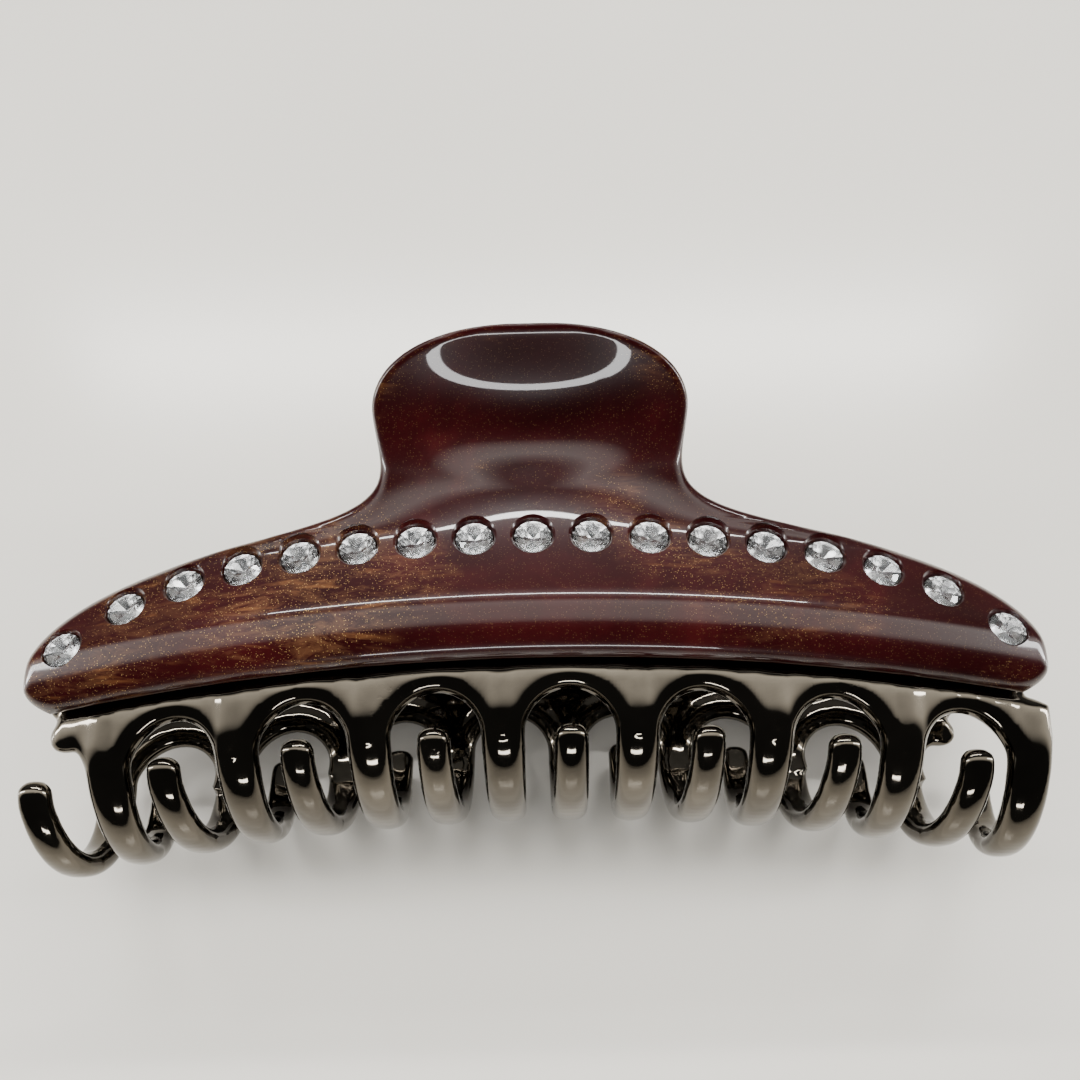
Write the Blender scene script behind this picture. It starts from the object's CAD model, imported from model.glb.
import math

import bmesh
import bpy
import numpy as np
from mathutils import Matrix, Vector


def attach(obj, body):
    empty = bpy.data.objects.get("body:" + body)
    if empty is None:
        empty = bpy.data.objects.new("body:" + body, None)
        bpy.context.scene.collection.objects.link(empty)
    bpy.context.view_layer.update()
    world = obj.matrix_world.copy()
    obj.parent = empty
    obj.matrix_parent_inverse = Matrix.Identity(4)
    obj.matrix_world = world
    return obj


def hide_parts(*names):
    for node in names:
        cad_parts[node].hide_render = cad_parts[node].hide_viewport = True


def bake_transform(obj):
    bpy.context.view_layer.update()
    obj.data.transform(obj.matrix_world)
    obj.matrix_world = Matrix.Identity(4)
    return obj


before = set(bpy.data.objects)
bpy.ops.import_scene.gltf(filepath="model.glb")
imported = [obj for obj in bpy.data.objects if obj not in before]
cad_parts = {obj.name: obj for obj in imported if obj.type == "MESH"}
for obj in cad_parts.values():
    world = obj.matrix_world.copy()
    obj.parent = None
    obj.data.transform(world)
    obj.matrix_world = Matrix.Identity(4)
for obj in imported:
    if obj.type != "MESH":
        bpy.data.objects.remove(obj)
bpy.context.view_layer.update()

# ---------------------------------------------------------------- the clip's own measures, in mm
# The clip is described standing, tab up and front towards -Y, and then laid on its back.
# u is the height above the cover's lower edge. The ends of all rows sink by SINK * x * x.
HALF = 53.0  # half length of the cover
HEIGHT = 34.0  # lower edge to top of the tab
BAND = 15.9  # height of the wings at the middle
NECK = 15.6  # half width of the tab at its waist
SPREAD, SPREAD_RUN = 1.2, 9  # the tab widens by this, over this height
WING_N, CROWN_N = 2.8, 2.4  # powers of the rounded wing and of the rounded top
FILLET, FILLET_RUN = 12, 1.7  # the curve from wing to tab
END_IN = 2.6  # the ends draw in below WIDE_U by this
COVER_T = 2.6  # thickness of the cover
WAIST = 15.0  # the waist's distance from the middle plane
BULGE = 4.9  # the ridge stands out this much beyond the waist
FLARE = 8.6  # and the tab's top this much
BEVEL_SLOPE = 0.45  # the bevel below the ridge
BOWL, BOWL_X, BOWL_RISE = 1.5, 14.2, 8  # depth and half sizes of the thumb's hollow
SINK = 0.0016  # drop of the ends, per mm squared
PLAN = 0.0019  # curve of the front towards the middle plane at the ends, per mm squared
DISH, DISH_FROM, DISH_RUN = 0.004, 13, 8  # the tab curves the other way
WIDE_U, ROOT_U, WAIST_U, CROWN_U, BEVEL_U, RIDGE_U, BOWL_U = 3.0, 15.3, 19.0, 26.4, 2.7, 5.9, 26.4
STONES = 17
STONE_D = 3.9
STONE_PITCH = 6.12
STONE_H = 13.1  # height of the row at the middle
ROW_HALF = 51.0  # half length of the curve that the row follows
SEAT = 1.7  # depth of a stone's seat
SEAT_PLAY = 0.12
GIRDLE = -0.62  # a stone's widest place, from the face
TEETH = 8
PITCH = 13.7
TOOTH_W = 4.3
TIP_W = 3.2
TOOTH_T = 2.6
TOOTH_TOP = -0.9
REACH = 15.6  # the legs' distance from the middle plane
BEND = 10.0  # height of the teeth's bend
SPRING_U = -4.5  # where the bend springs from the leg
TIP_ANGLE = -73.0
PLATE_T = 1.8
PLATE_LOW = -2.9
PLATE_HIGH = 26.0
PLATE_INSET = 1.5
CORNER_R = 2.2
GLUE = 0.15  # gap between the cover and the plate
PIN_H = 15.0
PIN_D = 2.4
PIN_HALF = 12.9
PIN_HEAD_R = 2.0
KNUCKLE_R = 2.9
KNUCKLES = ((4.6, 8.0), (-12.0, -8.6))  # where the lugs stand along X
WIRE = 1.1
COIL_TURNS = 5
COIL_HALF = 3.1
LEG_TOP = 22.6  # height of the spring legs' ends
LIE = math.radians(8.3)  # the closed clip rests on its back at this angle
LIFT = 19.154
SHIFT = -8.176
ARCH_R = (PITCH - TOOTH_W) / 2
RIM = 1.65  # radius of the rounded rim over each gap
RIM_R = ARCH_R + RIM - 0.05
ARCH_Z = PLATE_LOW - ARCH_R
WEB_OUT = REACH + TOOTH_T / 2
WEB_TOP = -0.95
WEB_END = -49.6
RAIL_R = 0.95
FIRST_TOOTH = PITCH / 4 - PITCH * (TEETH - 1) / 2


def smooth(t):
    """A soft step from 0 to 1."""
    c = np.clip(t, 0, 1)
    return c * c * (3 - 2 * c)


def power_round(t, n):
    """A rounded fall from 1 at t = 0 to 0 at t = 1."""
    return np.maximum(1 - np.clip(t, 0, 1) ** n, 0) ** (1 / n)


def outline(u):
    """Half width of the cover at height u above its lower edge."""
    wing = HALF * power_round(np.abs(u - WIDE_U) / (BAND - WIDE_U), WING_N)
    crown = power_round((u - CROWN_U) / (HEIGHT - CROWN_U), CROWN_N)
    tab = (NECK + SPREAD * smooth((u - WAIST_U) / SPREAD_RUN)) * crown
    tab = tab + FILLET * np.exp(-(u - ROOT_U) / FILLET_RUN)
    low = HALF - END_IN * np.maximum(1 - u / WIDE_U, 0) ** 2
    m = smooth((u - 14.2) / 1.2)
    return np.where(u < WIDE_U, low, (1 - m) * wing + m * np.maximum(wing, tab))


# offsets and weights of the running mean that softens the face's bends
SOFTEN = [(0.3 * k, (1 + math.cos(math.pi * k / 5)) / 10) for k in range(-4, 5)]


def face_raw(u):
    """The face's profile at the middle, before softening."""
    low = BULGE - BEVEL_SLOPE * (BEVEL_U - u)
    slope = BULGE * (np.clip(WAIST_U - u, 0, None) / (WAIST_U - RIDGE_U)) ** 1.5
    tab = FLARE * (np.clip(u - WAIST_U, 0, None) / (HEIGHT - WAIST_U)) ** 2
    above = np.where(u < RIDGE_U, BULGE, np.where(u < WAIST_U, slope, tab))
    return WAIST + np.where(u < BEVEL_U, low, above)


def face(u, x):
    """Distance of the cover's outer face from the middle plane."""
    mid = sum(w * face_raw(u + d) for d, w in SOFTEN)
    m = smooth((u - DISH_FROM) / DISH_RUN)
    r2 = (x / BOWL_X) ** 2 + ((u - BOWL_U) / BOWL_RISE) ** 2
    bowl = BOWL * np.clip(1 - r2, 0, None) ** 2
    return mid + (DISH * m - PLAN * (1 - m)) * x * x - bowl


def row_frame(points, rear=False):
    """Standing millimetres to the row frame's metres. The rear half is turned half round."""
    p = np.array(points, float)
    x, y, z = p[..., 0], p[..., 1], p[..., 2]
    if rear:
        x, y = -x, -y
    s, c = math.sin(LIE), math.cos(LIE)
    return np.stack([x, y * s + z * c + SHIFT, -y * c + z * s + LIFT], -1) / 1000


# ---------------------------------------------------------------- mesh helpers
def make_object(name, verts, faces, sharp=None):
    """A mesh object, shaded smooth with edges over sharp degrees kept, or flat if sharp is left out."""
    mesh = bpy.data.meshes.new(name)
    mesh.from_pydata([tuple(v) for v in verts], [], [tuple(f) for f in faces])
    mesh.validate()
    obj = bpy.data.objects.new(name, mesh)
    bpy.context.scene.collection.objects.link(obj)
    if sharp is not None:
        mesh.shade_smooth()
        mesh.set_sharp_from_angle(angle=math.radians(sharp))
    return obj


def apply_modifiers(obj):
    """Puts the modified mesh in place of obj's own."""
    depsgraph = bpy.context.evaluated_depsgraph_get()
    mesh = bpy.data.meshes.new_from_object(obj.evaluated_get(depsgraph))
    old = obj.data
    obj.modifiers.clear()
    obj.data = mesh
    bpy.data.meshes.remove(old)


def outward(obj):
    """Turns all faces of obj outwards."""
    bm = bmesh.new()
    bm.from_mesh(obj.data)
    bmesh.ops.recalc_face_normals(bm, faces=bm.faces)
    bm.to_mesh(obj.data)
    bm.free()


def ring_faces(rows, ring):
    """The quads of a tube made of rows rings of ring points each."""
    i = np.arange(rows - 1)[:, None]
    j = np.arange(ring)[None, :]
    a = i * ring + j
    b = i * ring + (j + 1) % ring
    return np.stack([a, b, b + ring, a + ring], -1).reshape(-1, 4).tolist()


def sheet(us, width, out, thick, n):
    """A curved sheet with rounded edges: points and faces, in standing millimetres.
    width gives the half width at a height, out the outer face's distance, n the columns per side."""
    lo, hi = us[0], us[-1]
    w = width(us)
    h = 0.05
    slope = np.abs(width(np.minimum(us + h, hi)) - width(np.maximum(us - h, lo))) / (2 * h)
    ang = np.radians(90 * np.arange(-n, n + 1) / n)
    r = thick / 2

    def round_in(d, rad):
        t = np.clip(d / rad, 0, 1)
        return np.sqrt(1 - (1 - t) ** 2)

    x = w[:, None] * np.sin(ang)[None, :]
    rad = np.minimum(r * np.sqrt(1 + slope**2), 0.5 * w)[:, None]
    ends = np.maximum(round_in(np.minimum(us - lo, hi - us), r), 0.05)
    full = round_in(w[:, None] - np.abs(x), rad) * ends[:, None]
    uu = us[:, None] + 0 * x
    far = out(uu, x)
    z = uu - SINK * x * x
    front = np.stack([x, -far + r - r * full, z], -1)
    back = np.stack([x, -far + r + r * full, z], -1)[:, 1:-1][:, ::-1]
    pts = np.concatenate([front, back], 1)
    ring = pts.shape[1]
    faces = ring_faces(len(us), ring)
    for o, flip in ((0, False), ((len(us) - 1) * ring, True)):
        for j in range(2 * n):
            a, b = o + j, o + j + 1
            c, d = o + (ring - j) % ring, o + (ring - j - 1) % ring
            f = [v for k, v in enumerate((a, c, d, b)) if v not in (a, c, d, b)[:k]]
            faces.append(f[::-1] if flip else f)
    return pts.reshape(-1, 3), faces


def sweep(centres, normals, sides, half_w, half_t, section=20, n=0.75):
    """A tube along centres. sides is the width direction, normals the thickness one.
    n is 1 for an oval section and squarer below."""
    ang = 2 * math.pi * (np.arange(section) + 0.5) / section
    sx = np.sign(np.cos(ang)) * np.abs(np.cos(ang)) ** n
    sy = np.sign(np.sin(ang)) * np.abs(np.sin(ang)) ** n
    rows = [c + s * (w * sx)[:, None] + m * (t * sy)[:, None]
            for c, m, s, w, t in zip(centres, normals, sides, half_w, half_t)]
    pts = np.concatenate(rows)
    faces = ring_faces(len(rows), section)
    faces.append(list(range(section))[::-1])
    faces.append([(len(rows) - 1) * section + k for k in range(section)])
    return pts, faces


def merge(parts):
    """One set of points and faces out of several."""
    verts, faces, base = [], [], 0
    for v, f in parts:
        verts.append(np.asarray(v))
        faces += [[k + base for k in one] for one in f]
        base += len(v)
    return np.concatenate(verts), faces


# ---------------------------------------------------------------- stones' places
def stone_place(i):
    """Standing place of stone i (1 to STONES): centre on the face, and axes x, y, outwards."""
    x = STONE_PITCH * (i - (STONES + 1) / 2)
    u = STONE_H * (1 - (abs(x) / ROW_HALF) ** 3) ** (1 / 3)
    h = 0.2
    lean = math.atan((face(u - h, x) - face(u + h, x)) / (2 * h))
    turn = math.atan((face(u, x - h) - face(u, x + h)) / (2 * h))
    place = Matrix.Translation((x, -float(face(u, x)), u - SINK * x * x))
    return place @ Matrix.Rotation(turn, 4, "Z") @ Matrix.Rotation(math.pi / 2 - lean, 4, "X")


def moved(points, matrix):
    """Points carried by a 4 x 4 matrix."""
    m = np.array(matrix)
    return np.asarray(points, float) @ m[:3, :3].T + m[:3, 3]


def lathe(profile, steps):
    """A closed turned solid from (radius, height) pairs, first and last on the axis."""
    ang = 2 * math.pi * np.arange(steps) / steps
    rows = profile[1:-1]
    pts = [(r * math.cos(a), r * math.sin(a), z) for r, z in rows for a in ang]
    faces = ring_faces(len(rows), steps)
    pts += [(0, 0, profile[0][1]), (0, 0, profile[-1][1])]
    lo, hi = len(pts) - 2, len(pts) - 1
    top = (len(rows) - 1) * steps
    for k in range(steps):
        faces.append([lo, (k + 1) % steps, k])
        faces.append([hi, top + k, top + (k + 1) % steps])
    return np.array(pts), faces


# ---------------------------------------------------------------- covers
def build_cover(name, rear):
    """The resin shell with its seats. Rows stand closer where the outline turns."""
    steps = 2
    us = np.concatenate([
        [0, 0.05, 0.12, 0.22, 0.36, 0.55, 0.8, 1.1],
        np.arange(1.4, 14.0, 0.54 / steps),
        np.arange(14.0, 17.0, 0.14), np.arange(17.0, 32.2, 0.4),
        np.arange(32.2, 33.6, 0.16), HEIGHT - np.array([0.4, 0.28, 0.18, 0.1, 0.05, 0.02, 0.0])])
    us = np.unique(np.round(us, 4))
    verts, faces = sheet(us, lambda u: np.maximum(outline(u), 0.6), face, COVER_T, 60 * steps)
    obj = make_object(name, row_frame(verts, rear), faces)
    # one cutter per seat: a rounded mouth over a straight well
    r = STONE_D / 2 + SEAT_PLAY
    mouth = [(0.42, 1.5), (0.42, 0.12), (0.27, -0.03), (0.13, -0.16), (0.04, -0.36), (0, -0.6)]
    profile = [(0, 1.5)] + [(r + wider, z) for wider, z in mouth]
    profile += [(r, -SEAT + 0.15), (r - 0.15, -SEAT), (0, -SEAT)]
    pts, fcs = lathe(profile[::-1], 48)
    verts, faces = merge([(moved(pts, stone_place(i)), fcs) for i in range(1, STONES + 1)])
    cutter = make_object(name + "_cutter", row_frame(verts, rear), faces)
    cut = obj.modifiers.new("seats", "BOOLEAN")
    cut.operation = "DIFFERENCE"
    cut.object = cutter
    cut.solver = "MANIFOLD"
    apply_modifiers(obj)
    bpy.data.objects.remove(cutter, do_unlink=True)
    obj.data.shade_smooth()
    obj.data.set_sharp_from_angle(angle=math.radians(38))
    return obj


# ---------------------------------------------------------------- jaws
def plate_out(u, x):
    """Distance of the inner plate's outer side from the middle plane."""
    return face(np.maximum(u, 0.8), x) - COVER_T - GLUE


def plate_width(u):
    """Half width of the inner plate at height u."""
    wide = HALF - PLATE_INSET - 1.6 * smooth((0.8 - u) / 2)
    t = np.clip((u - PLATE_HIGH + CORNER_R) / CORNER_R, 0, 1)
    corner = CORNER_R * (1 - np.sqrt(1 - t * t))
    return np.where(u < WIDE_U, wide, np.maximum(outline(u + PLATE_INSET) - PLATE_INSET, 8) - corner)


def tooth_path(x):
    """A tooth's middle line in (y, z) at place x, leg first, and how many of its points are leg."""
    ry, rz = REACH - PLAN * x * x, BEND + 0.0003 * x * x
    leg = [(-ry, TOOTH_TOP + (SPRING_U - TOOTH_TOP) * t) for t in np.arange(0, 1, 1 / 12)]
    angles = np.radians(np.linspace(90, TIP_ANGLE, 44))
    arc = [(-ry * math.sin(a), SPRING_U - rz * math.cos(a)) for a in angles]
    return np.array(leg + arc), len(leg)


def tooth(j):
    """Tooth j, thinner and narrower towards its rounded tip and leaning a little along the clip."""
    x = FIRST_TOOTH + PITCH * j
    path, legs = tooth_path(x)
    last = len(path) - 1
    along = np.clip((np.arange(last + 1) - legs) / (last - legs), 0, 1)
    d = np.gradient(path, axis=0)
    d /= np.linalg.norm(d, axis=1)[:, None]
    half_t = (TOOTH_T / 2 + 0.2) * (1 - 0.17 * along)
    half_w = TOOTH_W / 2 + 0.17 + (TIP_W - TOOTH_W) / 2 * along
    centres, normals, sides, ws, ts = [], [], [], [], []
    tip = [(half_t[-1] * s, math.sqrt(max(1 - s * s, 0.004))) for s in (0, 0.3, 0.55, 0.75, 0.9, 1.0)]
    for i in range(last + 1):
        for shift, grow in (tip if i == last else tip[:1]):
            y, z = path[i] + d[i] * shift
            sway = math.sin(math.pi * min(along[i] / 0.95, 1))
            wx = x * (1 + 0.02 * along[i] - 0.025 * sway)
            centres.append(np.array([wx, y, z - SINK * x * x]))
            normals.append(np.array([0, -d[i][1], d[i][0]]))
            sides.append(np.array([1.0, 0, 0]))
            ws.append(half_w[i] * grow)
            ts.append(half_t[i] * grow)
    return sweep(centres, normals, sides, ws, ts, section=24, n=0.86)


def arch(x, half=False):
    """The rounded rim over the gap between two teeth, from leg to leg, or only its +X side."""
    angles = np.radians(np.linspace(-14, 76, 22) if half else np.linspace(-14, 194, 44))
    centres, normals, sides = [], [], []
    for a in angles:
        px = x + RIM_R * math.cos(a)
        pz = ARCH_Z + RIM_R * math.sin(a)
        y = WEB_OUT - RIM - PLAN * px * px
        if pz < SPRING_U:
            y -= REACH * (1 - math.sqrt(max(1 - ((SPRING_U - pz) / BEND) ** 2, 0)))
        centres.append(np.array([px, -y, pz - SINK * px * px]))
        normals.append(np.array([0, 1.0, 0]))
        sides.append(np.array([math.cos(a), 0, math.sin(a)]))
    n = len(centres)
    return sweep(centres, normals, sides, [RIM] * n, [RIM] * n, section=20, n=1.0)


def web():
    """The face between the arches: from just under the cover down to a point over each tooth."""
    xs = np.arange(WEB_END, 52.7, 0.2)
    centres = FIRST_TOOTH + PITCH * (np.arange(TEETH + 1) - 0.5)
    d = np.abs(xs[:, None] - centres[None, :]).min(1)
    low = ARCH_Z + np.sqrt(np.maximum(RIM_R**2 - d**2, 0))
    # beyond the last and the first tooth it ends higher
    low = np.where(xs > FIRST_TOOTH + PITCH * (TEETH - 1), np.maximum(low, -5.4), low)
    low = np.where(xs < FIRST_TOOTH - 2.0, np.maximum(low, -2.4), low)
    low = np.minimum(low, -1.4)
    top = np.full_like(xs, WEB_TOP)
    out = WEB_OUT - PLAN * xs * xs
    drop = SINK * xs * xs
    rows = [np.stack([xs, -(out - back), edge - drop], -1)
            for back, edge in ((0.0, low), (0.0, top), (TOOTH_T, top), (TOOTH_T, low))]
    pts = np.stack(rows, 1).reshape(-1, 3)
    faces = ring_faces(len(xs), 4)
    faces += [[3, 2, 1, 0], [len(pts) - k for k in (4, 3, 2, 1)]]
    return pts, faces


ACROSS, UP = np.array([0, 1.0, 0]), np.array([0, 0, 1.0])


def rail():
    """The rounded upper border of the face, just under the cover."""
    xs = np.linspace(WEB_END, 52.6, 90)
    centres = [np.array([x, -(WEB_OUT - RAIL_R - PLAN * x * x), -1.1 - SINK * x * x]) for x in xs]
    radius = [RAIL_R] * len(xs)
    return sweep(centres, [ACROSS] * len(xs), [UP] * len(xs), radius, radius, section=16, n=1.0)


def wing():
    """The short rounded stub that ends the rail beyond the first tooth."""
    xs = np.linspace(-50.9, -42.6, 14)
    centres = [np.array([x, -(REACH - 0.2 - PLAN * x * x), -2.3 - SINK * x * x]) for x in xs]
    size = [1.9 * min(1, 0.35 + 0.65 * math.sqrt(min((k + 0.01) / 2.5, 1))) for k in range(len(xs))]
    flat = [0.8 * s for s in size]
    return sweep(centres, [ACROSS] * len(xs), [UP] * len(xs), size, flat, section=18)


def lug(a, b):
    """The arm between x = a and x = b that carries the pin, with rounded edges."""
    reach = float(plate_out(np.float64(PIN_H), np.float64(0))) - PLATE_T * 0.4
    ang = np.radians(np.linspace(-118, 78, 28))
    loop = [(KNUCKLE_R * math.cos(t), KNUCKLE_R * math.sin(t)) for t in ang]
    loop += [(-reach, KNUCKLE_R * 1.3), (-reach, -KNUCKLE_R * 1.6)]
    loop = np.array(loop)
    n = len(loop)
    d = np.roll(loop, -1, 0) - np.roll(loop, 1, 0)
    out = np.stack([d[:, 1], -d[:, 0]], -1) / np.linalg.norm(d, axis=1)[:, None]
    pts = []
    for x, inset in ((a, 0.5), (a + 0.15, 0.15), (a + 0.5, 0), (b - 0.5, 0), (b - 0.15, 0.15), (b, 0.5)):
        pts += [(x, y, PIN_H + z) for y, z in loop - inset * out]
    faces = ring_faces(6, n)
    faces += [list(range(n))[::-1], [5 * n + k for k in range(n)]]
    return np.array(pts), faces


def build_jaw(name, rear):
    """The comb: plate, teeth, arches, face, rail, stub and lugs, melted into one skin."""
    us = np.unique(np.concatenate([
        [PLATE_LOW, PLATE_LOW + 0.2, PLATE_LOW + 0.5], np.arange(-1.8, 13.2, 0.6),
        np.arange(13.2, 16, 0.2), np.arange(16, 23.5, 0.5), np.arange(23.5, 25.8, 0.2),
        [25.8, 25.9, PLATE_HIGH]]))
    parts = [sheet(us, plate_width, plate_out, PLATE_T, 60)]
    parts += [tooth(j) for j in range(TEETH)]
    parts += [arch(FIRST_TOOTH + PITCH * (j + 0.5)) for j in range(TEETH - 1)]
    parts += [arch(FIRST_TOOTH - PITCH * 0.5, half=True), rail(), web(), wing()]
    parts += [lug(a, b) for a, b in KNUCKLES]
    verts, faces = merge(parts)
    obj = make_object(name, verts / 1000, faces)
    outward(obj)
    # made solid while standing, so that straight edges follow the voxels
    remesh = obj.modifiers.new("skin", "REMESH")
    remesh.mode = "VOXEL"
    remesh.voxel_size = 0.00035
    apply_modifiers(obj)
    relax = obj.modifiers.new("relax", "SMOOTH")
    relax.factor = 0.5
    relax.iterations = 9
    apply_modifiers(obj)
    standing = np.empty(3 * len(obj.data.vertices))
    obj.data.vertices.foreach_get("co", standing)
    obj.data.vertices.foreach_set("co", row_frame(standing.reshape(-1, 3) * 1000, rear).ravel())
    obj.data.update()
    obj.data.shade_smooth()
    return obj


# ---------------------------------------------------------------- stones
def build_stone(name, i, rear):
    """A round cut stone: flat top, eight kite and sixteen belt facets, eight-sided pointed back."""
    r = STONE_D / 2
    spin = math.radians((i * 37 + (19 if rear else 0)) % 45)

    def ring(radius, z, count, turn):
        angles = [spin + 2 * math.pi * (k + turn) / count for k in range(count)]
        return [(radius * math.cos(a), radius * math.sin(a), GIRDLE + z) for a in angles]

    rings = [
        ring(r * 0.58, 0.62, 8, 0.5),  # table
        ring(r * 0.80, 0.42, 8, 0),  # middle of the crown
        ring(r, 0.10, 16, 0),  # belt
        ring(r, 0.0, 16, 0),  # lower edge of the belt
        ring(r * 0.52, -0.52, 8, 0.5),  # middle of the back
        [(0, 0, GIRDLE - 1.02)],
    ]
    pts = [point for one in rings for point in one]
    # first index of each ring
    t0, m0, b0, l0, k0, p0 = np.cumsum([0] + [len(one) for one in rings[:-1]]).tolist()
    crown, pavilion = [[t0 + k for k in range(8)]], []
    for k in range(8):
        n = (k + 1) % 8
        prev = (k - 1) % 8
        # table corner k lies between mids k and k+1
        crown.append([t0 + prev, m0 + k, t0 + k])
        crown.append([t0 + k, m0 + k, b0 + (2 * k + 1) % 16])
        crown.append([t0 + k, b0 + (2 * k + 1) % 16, m0 + n])
        crown.append([m0 + k, b0 + 2 * k, b0 + (2 * k + 1) % 16])
        crown.append([m0 + k, b0 + (2 * k - 1) % 16, b0 + 2 * k])
        pavilion.append([l0 + 2 * k, k0 + prev, k0 + k])
        pavilion.append([l0 + 2 * k, k0 + k, l0 + (2 * k + 1) % 16])
        pavilion.append([l0 + (2 * k + 1) % 16, k0 + k, l0 + (2 * k + 2) % 16])
        pavilion.append([k0 + prev, p0, k0 + k])
    for k in range(16):
        crown.append([b0 + k, l0 + k, l0 + (k + 1) % 16, b0 + (k + 1) % 16])
    verts = row_frame(moved(pts, stone_place(i)), rear)
    obj = make_object(name, verts, crown + pavilion)
    outward(obj)
    for index, polygon in enumerate(obj.data.polygons):
        polygon.material_index = 0 if index < len(crown) else 1
    return obj


# ---------------------------------------------------------------- pin and spring
def build_pin(name):
    """The rod with its two domed heads."""
    head = [(0, 0.05), (1.1, 0), (1.75, -0.08), (PIN_HEAD_R, -0.26), (1.9, -0.5), (PIN_D / 2, -0.52)]
    rows = [(r, -PIN_HALF - z) for r, z in head] + [(r, PIN_HALF + z) for r, z in head[::-1]]
    pts, faces = lathe(rows, 48)
    pts = np.stack([pts[:, 2], pts[:, 0], pts[:, 1] + PIN_H], -1)
    return make_object(name, row_frame(pts), faces, sharp=40)


def build_spring(name):
    """The coil on the pin, its first leg on the front plate and its last on the rear one."""
    coil_r = PIN_D / 2 + WIRE / 2 + 0.45
    reach = float(plate_out(np.float64(LEG_TOP), np.float64(0))) - PLATE_T - WIRE / 2 - 0.4
    out, rise = reach - coil_r, LEG_TOP - PIN_H
    per = 40  # points per turn
    step = 2 * COIL_HALF / COIL_TURNS
    pts = [(-COIL_HALF, -reach + out * t, LEG_TOP - rise * t) for t in np.linspace(0, 0.78, 10)]
    for i in range(COIL_TURNS * per + per // 2 + 1):
        a = math.pi + 2 * math.pi * i / per
        pts.append((-COIL_HALF + step * i / per, coil_r * math.cos(a), PIN_H + coil_r * math.sin(a)))
    end = COIL_HALF + step / 2
    pts += [(end, coil_r + out * t, PIN_H + rise * t) for t in np.linspace(0.22, 1, 10)]
    p = np.array(pts)
    for _ in range(2):
        p[1:-1] = 0.5 * p[1:-1] + 0.25 * (p[:-2] + p[2:])
    d = np.gradient(p, axis=0)
    d /= np.linalg.norm(d, axis=1)[:, None]
    s = np.cross(d, [1.0, 0, 0])
    s /= np.linalg.norm(s, axis=1)[:, None]
    t = np.cross(d, s)
    radius = np.full(len(p), WIRE / 2)
    verts, faces = sweep(p, t, s, radius, radius, section=16, n=1.0)
    return make_object(name, row_frame(verts), faces, sharp=50)


# ---------------------------------------------------------------- materials
def nodes_of(name):
    """A new material, its tree and its shader."""
    mat = bpy.data.materials.new(name)
    mat.use_nodes = True
    tree = mat.node_tree
    return mat, tree, next(n for n in tree.nodes if n.type == "BSDF_PRINCIPLED")


def uniform(shader, **values):
    """Sets the shader's own sockets. An underscore stands for a space."""
    for key, value in values.items():
        shader.inputs[key.replace("_", " ")].default_value = value


def ramp(tree, source, *stops):
    """The colour of source, from (place, colour) stops."""
    node = tree.nodes.new("ShaderNodeValToRGB")
    tree.links.new(source, node.inputs["Fac"])
    elements = node.color_ramp.elements
    while len(elements) < len(stops):
        elements.new(0.5)
    for element, (place, colour) in zip(elements, stops):
        element.position = place
        element.color = (*colour, 1)
    return node.outputs["Color"]


def mask(tree, source, start, end):
    """Grey that turns from 0 at start to 1 at end, or the other way round if end is lower."""
    low, high = ((0, 0, 0), (1, 1, 1)) if start < end else ((1, 1, 1), (0, 0, 0))
    return ramp(tree, source, (min(start, end), low), (max(start, end), high))


def mix(tree, factor, a, b):
    """Colour a, with colour b where factor is 1."""
    node = tree.nodes.new("ShaderNodeMix")
    node.data_type = "RGBA"
    tree.links.new(factor, node.inputs[0])
    tree.links.new(a, node.inputs[6])
    node.inputs[7].default_value = (*b, 1)
    return node.outputs[2]


def math_node(tree, op, a, b):
    node = tree.nodes.new("ShaderNodeMath")
    node.operation = op
    for socket, value in zip(node.inputs, (a, b)):
        if isinstance(value, (int, float)):
            socket.default_value = value
        else:
            tree.links.new(value, socket)
    return node.outputs[0]


def times(tree, a, b):
    return math_node(tree, "MULTIPLY", a, b)


def plus(tree, a, b):
    return math_node(tree, "ADD", a, b)


def mapped(tree, scale=(1, 1, 1), turn=0.0):
    """The object's own coordinates, in metres, scaled and turned about Z."""
    coord = tree.nodes.new("ShaderNodeTexCoord")
    node = tree.nodes.new("ShaderNodeMapping")
    node.inputs["Scale"].default_value = scale
    node.inputs["Rotation"].default_value = (0, 0, turn)
    tree.links.new(coord.outputs["Object"], node.inputs["Vector"])
    return node.outputs["Vector"]


def noise(tree, vector, scale, detail=4, rough=0.55, distortion=0.0):
    node = tree.nodes.new("ShaderNodeTexNoise")
    node.inputs["Scale"].default_value = scale
    node.inputs["Detail"].default_value = detail
    node.inputs["Roughness"].default_value = rough
    node.inputs["Distortion"].default_value = distortion
    tree.links.new(vector, node.inputs["Vector"])
    return node.outputs["Fac"]


def bump(tree, shader, height, strength, distance):
    node = tree.nodes.new("ShaderNodeBump")
    node.inputs["Strength"].default_value = strength
    node.inputs["Distance"].default_value = distance
    tree.links.new(height, node.inputs["Height"])
    tree.links.new(node.outputs["Normal"], shader.inputs["Normal"])


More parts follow.
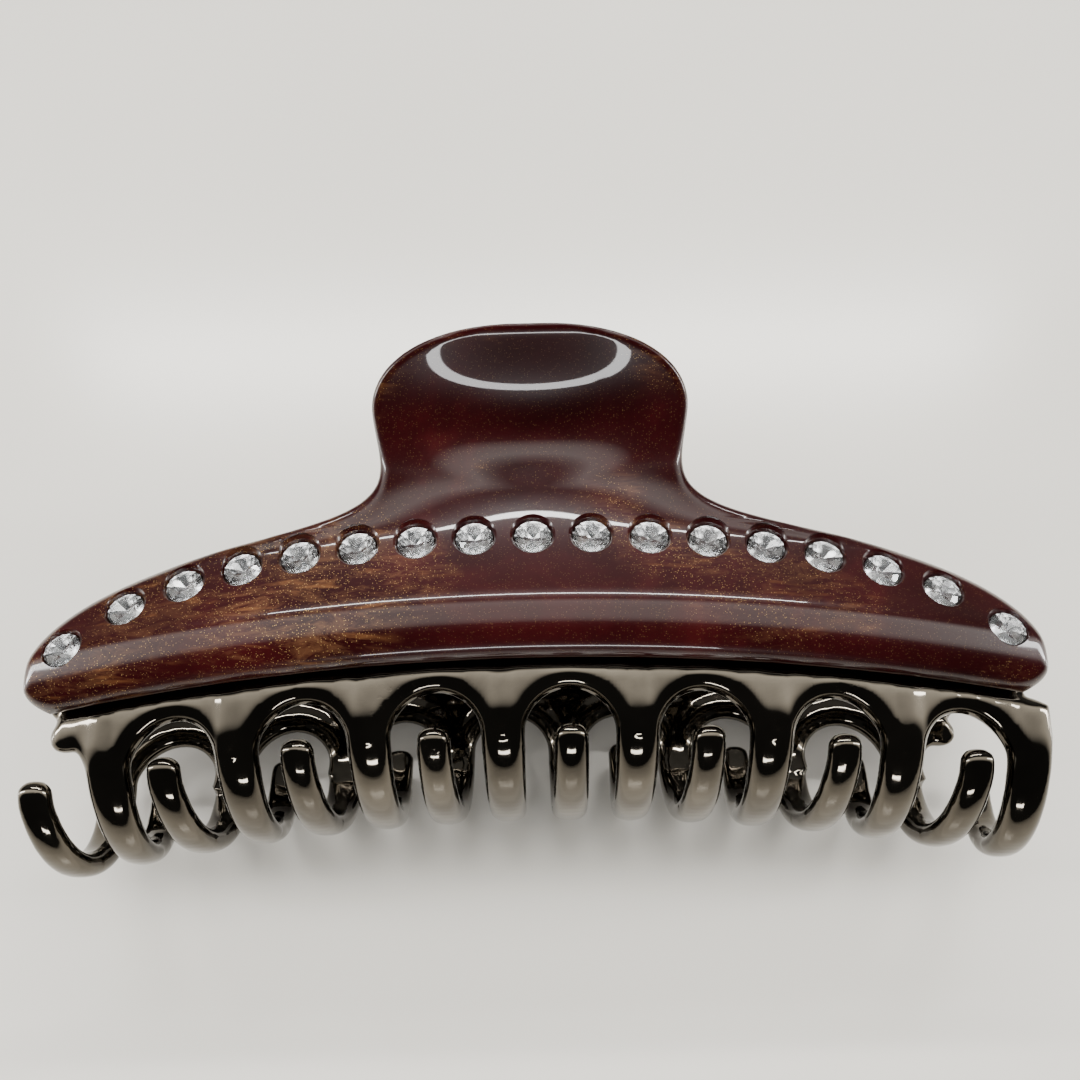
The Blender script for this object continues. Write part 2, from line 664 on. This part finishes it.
def cover_material():
    """Deep burgundy resin: cloudy depth, golden veils and fine metal flecks under a clear gloss."""
    mat, tree, shader = nodes_of("burgundy_resin")
    plain = mapped(tree)
    cloud = noise(tree, plain, 60, 5, 0.6, 0.4)
    base = ramp(tree, cloud, (0.30, (0.009, 0.0003, 0.0006)), (0.52, (0.019, 0.0009, 0.0015)),
                (0.75, (0.044, 0.0030, 0.0034)))
    # golden veils, drawn out along the clip and only in patches
    streaked = mapped(tree, scale=(0.35, 1.0, 1.0), turn=0.12)
    veil = mask(tree, noise(tree, streaked, 520, 8, 0.78, 1.2), 0.47, 0.66)
    patch = mask(tree, noise(tree, plain, 38, 3, 0.5, 0.3), 0.46, 0.64)
    veiled = mix(tree, times(tree, times(tree, veil, patch), 0.5), base, (0.17, 0.078, 0.034))
    # fine flecks: some of the cells of a pattern, each with a dot, more in the patches
    cells = tree.nodes.new("ShaderNodeTexVoronoi")
    cells.inputs["Scale"].default_value = 6500
    tree.links.new(plain, cells.inputs["Vector"])
    draw = tree.nodes.new("ShaderNodeSeparateColor")
    tree.links.new(cells.outputs["Color"], draw.inputs["Color"])
    rare = mask(tree, draw.outputs["Red"], 0.72, 0.80)
    dot = mask(tree, cells.outputs["Distance"], 0.34, 0.18)
    fleck = times(tree, times(tree, rare, dot), plus(tree, times(tree, patch, 0.75), 0.12))
    colour = mix(tree, fleck, veiled, (0.60, 0.38, 0.15))
    # thin brush marks
    fine = mapped(tree, scale=(0.16, 1.0, 1.0), turn=0.2)
    brush = mask(tree, noise(tree, fine, 900, 3, 0.5, 0.2), 0.60, 0.72)
    colour = mix(tree, times(tree, times(tree, brush, patch), 0.35), colour, (0.30, 0.13, 0.045))
    tree.links.new(colour, shader.inputs["Base Color"])
    tree.links.new(times(tree, fleck, 0.8), shader.inputs["Metallic"])
    tree.links.new(plus(tree, times(tree, cloud, 0.16), 0.22), shader.inputs["Roughness"])
    uniform(shader, Coat_Weight=1.0, Coat_Roughness=0.035, Coat_IOR=1.36, Specular_IOR_Level=0.15)
    bump(tree, shader, noise(tree, plain, 260, 2, 0.5), 0.05, 0.0002)
    return mat


def jaw_material():
    """Polished dark nickel plating with slight cloudiness, pits and worn spots."""
    mat, tree, shader = nodes_of("dark_nickel")
    plain = mapped(tree)
    cloud = noise(tree, plain, 90, 5, 0.6, 0.3)
    tone = ramp(tree, cloud, (0.3, (0.078, 0.069, 0.056)), (0.55, (0.112, 0.099, 0.080)),
                (0.8, (0.150, 0.133, 0.108)))
    worn = mask(tree, noise(tree, plain, 55, 2, 0.5), 0.58, 0.72)
    speck = mask(tree, noise(tree, plain, 1900, 3, 0.6), 0.58, 0.68)
    amount = times(tree, times(tree, speck, worn), 0.5)
    tree.links.new(mix(tree, amount, tone, (0.13, 0.11, 0.09)), shader.inputs["Base Color"])
    rough = plus(tree, plus(tree, times(tree, cloud, 0.06), 0.035), times(tree, amount, 0.35))
    tree.links.new(rough, shader.inputs["Roughness"])
    uniform(shader, Metallic=1.0)
    height = plus(tree, noise(tree, plain, 170, 2, 0.5), times(tree, amount, -0.3))
    bump(tree, shader, height, 0.12, 0.0003)
    return mat


def tinted(name, grain, dark, light, gloss, **values):
    """A plainer material: a tint that wanders between two colours, and an uneven roughness.
    grain is the tint's (scale, detail), gloss the roughness's (scale, detail, swing, least)."""
    mat, tree, shader = nodes_of(name)
    plain = mapped(tree)
    tint = ramp(tree, noise(tree, plain, *grain), (0.3, dark), (0.7, light))
    tree.links.new(tint, shader.inputs["Base Color"])
    if gloss:
        scale, detail, swing, least = gloss
        rough = plus(tree, times(tree, noise(tree, plain, scale, detail), swing), least)
        tree.links.new(rough, shader.inputs["Roughness"])
    uniform(shader, **values)
    return mat


# ---------------------------------------------------------------- build and join to the frame
COVER, JAW = cover_material(), jaw_material()
CRYSTAL = tinted("clear_crystal", (300, 2), (0.93, 0.95, 0.98), (1.0, 1.0, 1.0), (2600, 2, 0.02, 0.0),
                 Transmission_Weight=1.0, IOR=1.56)
FOIL = tinted("silver_foil", (900, 3), (0.90, 0.91, 0.92), (0.99, 0.99, 0.99), (1500, 2, 0.2, 0.08),
              Metallic=1.0)
STEEL = tinted("spring_steel", (500, 4), (0.38, 0.38, 0.39), (0.60, 0.60, 0.61), (1500, 3, 0.2, 0.15),
               Metallic=1.0)
FLOOR = tinted("pale_floor", (6, 3), (0.70, 0.675, 0.62), (0.76, 0.735, 0.68), None,
               Roughness=0.22, Specular_IOR_Level=0.6)


def give(obj, body, node, slot, *materials):
    """Gives obj its materials and joins it to its body, its node and its slot."""
    obj.data.materials.clear()
    for material in materials:
        obj.data.materials.append(material)
    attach(obj, body)
    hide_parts(node)


for side, rear in (("front", False), ("rear", True)):
    body = side + "_half"
    give(build_cover(side + "_cover_shell", rear), body, side + "_cover", "cover", COVER)
    give(build_jaw(side + "_jaw_comb", rear), body, side + "_jaw", "jaw", JAW)
    for i in range(1, STONES + 1):
        stone = build_stone("%s_crystal_%02d" % (side, i), i, rear)
        kept = [p.material_index for p in stone.data.polygons]
        give(stone, body, "%s_stone_%02d" % (side, i), "stone", CRYSTAL, FOIL)
        for p, index in zip(stone.data.polygons, kept):
            p.material_index = index

give(build_pin("pin_rod"), "rear_half", "hinge_pin", "steel", STEEL)
spring = build_spring("spring_coil")
spring.data.materials.append(STEEL)
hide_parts("torsion_spring")
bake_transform(spring)

# ---------------------------------------------------------------- stage
FLOOR_HALF, FLOOR_Z = 1.2, -0.00002
corners = [(FLOOR_HALF * x, FLOOR_HALF * y, FLOOR_Z) for x, y in ((-1, -1), (1, -1), (1, 1), (-1, 1))]
floor = make_object("floor", corners, [[0, 1, 2, 3]])
floor.data.materials.append(FLOOR)


def area(name, place, target, size, power, colour=(1, 1, 1)):
    """A soft rectangular light at place, facing target."""
    light = bpy.data.lights.new(name, "AREA")
    light.shape = "RECTANGLE"
    light.size, light.size_y = size
    light.energy = power
    light.color = colour
    obj = bpy.data.objects.new(name, light)
    obj.location = place
    obj.rotation_euler = (Vector(target) - Vector(place)).to_track_quat("-Z", "Y").to_euler()
    bpy.context.scene.collection.objects.link(obj)
    return obj


area("ridge_strip", (0.0, 0.27, 0.36), (0, 0, 0.03), (0.46, 0.018), 2.0, (1.0, 0.99, 0.97))
area("side_left", (-0.42, 0.02, 0.20), (0, 0, 0.02), (0.03, 0.34), 1.2)
area("side_right", (0.42, 0.02, 0.20), (0, 0, 0.02), (0.03, 0.34), 1.2)
area("front_low", (0.0, -0.42, 0.16), (0, 0, 0.03), (0.20, 0.03), 0.5)
wash = area("floor_wash", (0.0, -0.02, 0.64), (0, -0.06, 0.0), (0.8, 0.4), 2.7,
            (1.0, 0.985, 0.955))
wash.visible_glossy = False

world = bpy.data.worlds.new("studio")
world.use_nodes = True
bpy.context.scene.world = world
wt = world.node_tree
coord = wt.nodes.new("ShaderNodeTexCoord")
# a bright band runs over the clip's length, tipped back from straight up by BAND_TILT
BAND_TILT = math.radians(5.5)
dot = wt.nodes.new("ShaderNodeVectorMath")
dot.operation = "DOT_PRODUCT"
dot.inputs[1].default_value = (0.0, 0.5 * math.cos(BAND_TILT), -0.5 * math.sin(BAND_TILT))
wt.links.new(coord.outputs["Generated"], dot.inputs[0])
sky = ramp(wt, plus(wt, dot.outputs["Value"], 0.5),
           (0.0, (0.05, 0.05, 0.05)), (0.37, (0.05, 0.05, 0.05)), (0.46, (2.6, 2.54, 2.38)),
           (0.55, (3.4, 3.32, 3.12)), (0.64, (0.06, 0.06, 0.06)), (0.80, (0.16, 0.16, 0.155)),
           (1.0, (0.30, 0.30, 0.29)))
background = next(n for n in wt.nodes if n.type == "BACKGROUND")
wt.links.new(sky, background.inputs["Color"])
background.inputs["Strength"].default_value = 1.0

# the camera is placed in the standing frame, in front and a little below, and laid down with the clip
CAM_BELOW = math.radians(14.0)
CAM_DISTANCE = 136.2
CAM_TARGET = (0.75, 0.0, 16.5)
CAM_ROLL = math.radians(-1.29)
camera_data = bpy.data.cameras.new("camera")
camera_data.sensor_width = 36.0
camera_data.lens = 38.3
camera_data.clip_start = 0.005
camera = bpy.data.objects.new("camera", camera_data)
tx, ty, tz = CAM_TARGET
eye = (tx, ty - CAM_DISTANCE * math.cos(CAM_BELOW), tz - CAM_DISTANCE * math.sin(CAM_BELOW))
eye_w, target_w = (Vector(p) for p in row_frame([eye, CAM_TARGET]))
look = (target_w - eye_w).normalized()
up = Vector(row_frame([(tx, ty, tz + 1)])[0]) - target_w
right = look.cross(up).normalized()
up = right.cross(look)
turn = Matrix.Rotation(CAM_ROLL, 3, "Z")
axes = Matrix((right, up, -look)).transposed() @ turn
camera.matrix_world = Matrix.Translation(eye_w) @ axes.to_4x4()
bpy.context.scene.collection.objects.link(camera)
bpy.context.scene.camera = camera
